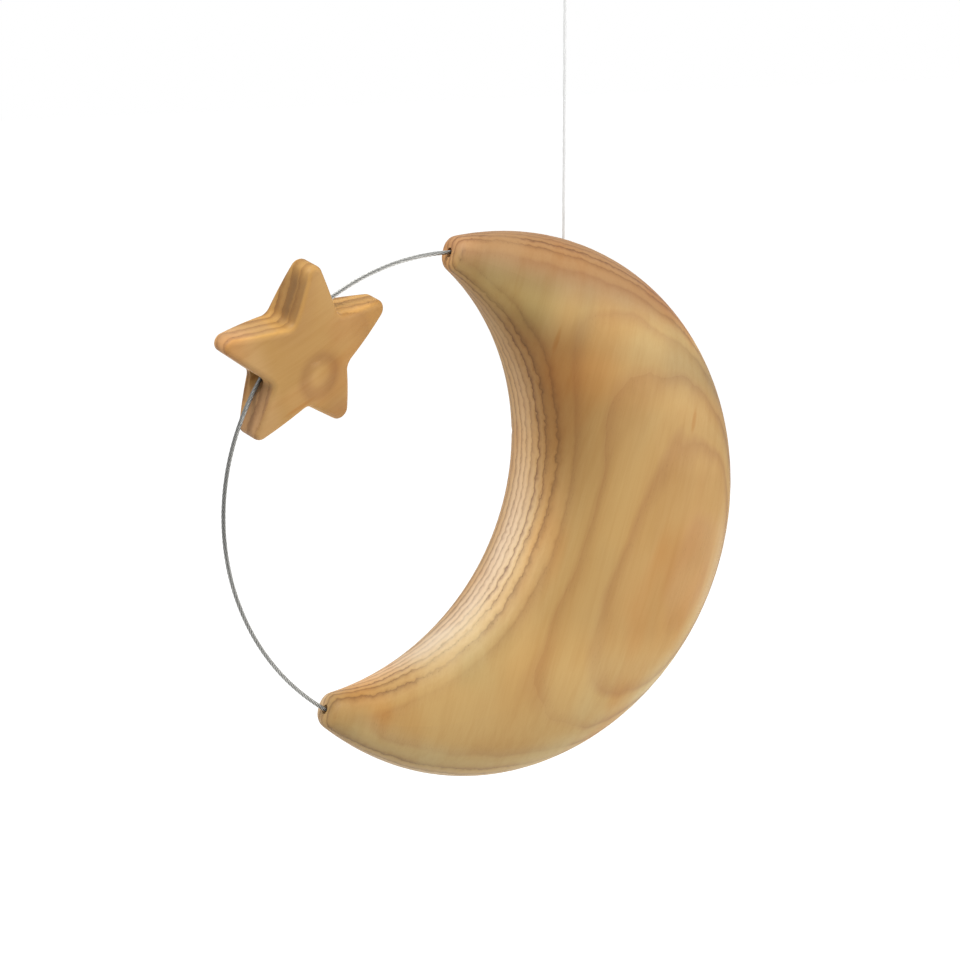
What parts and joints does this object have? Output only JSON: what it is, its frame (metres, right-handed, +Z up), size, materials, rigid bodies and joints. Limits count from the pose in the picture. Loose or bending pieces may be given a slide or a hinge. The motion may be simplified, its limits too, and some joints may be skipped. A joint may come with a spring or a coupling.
{
  "type": "moon and star hanging decoration",
  "caption": "Carved wooden crescent moon with a wooden star threaded on a ring of thin steel rope between its horns, hung from a clear thread.",
  "frame": {"origin": "inside top of the thread's loop, where a hook bears; the thread hangs straight down from it", "axes": "+Z up along the thread, +X toward the moon's belly, -Y toward the front face, with the moon, ring and star in the plane Y = 0"},
  "size_m": [0.1627, 0.041, 0.2406],
  "materials": {
    "moon_wood": "satin oiled ash, honey coloured",
    "star_wood": "satin oiled ash, slightly more orange",
    "steel_rope": "twisted stainless strands",
    "crimp_steel": "plain tube, hidden",
    "silicone": "soft clear sleeve, hidden",
    "nylon": "clear monofilament"
  },
  "bodies": {
    "hanger": {"thread_loop": "nylon", "loop_knot": "nylon"},
    "thread": {"thread": "nylon"},
    "moon": {"moon": "moon_wood", "wire": "steel_rope", "upper_ferrule": "crimp_steel", "lower_ferrule": "crimp_steel", "thread_peg": "moon_wood", "thread_tail": "nylon", "stop_knot": "nylon"},
    "grip": {"grip_sleeve": "silicone"},
    "star": {"star": "star_wood"}
  },
  "joints": [
    {"name": "moon_turn", "type": "hinge", "parent": "hanger", "child": "thread", "pos_m": [0, 0, -0.0182], "axis": [0, 0, 1], "continuous": true},
    {"name": "moon_tilt", "type": "hinge", "parent": "thread", "child": "moon", "pos_m": [0, 0, -0.0897], "axis": [0, 1, 0], "range_deg": [-15, 15]},
    {"name": "star_slide", "type": "hinge", "parent": "moon", "child": "grip", "pos_m": [-0.03685, 0, -0.1584], "axis": [0, 1, 0], "range_deg": [-70, 18]},
    {"name": "star_swivel", "type": "hinge", "parent": "grip", "child": "star", "pos_m": [-0.08504, 0, -0.11087], "axis": [-0.7022, 0, -0.712], "continuous": true}
  ]
}
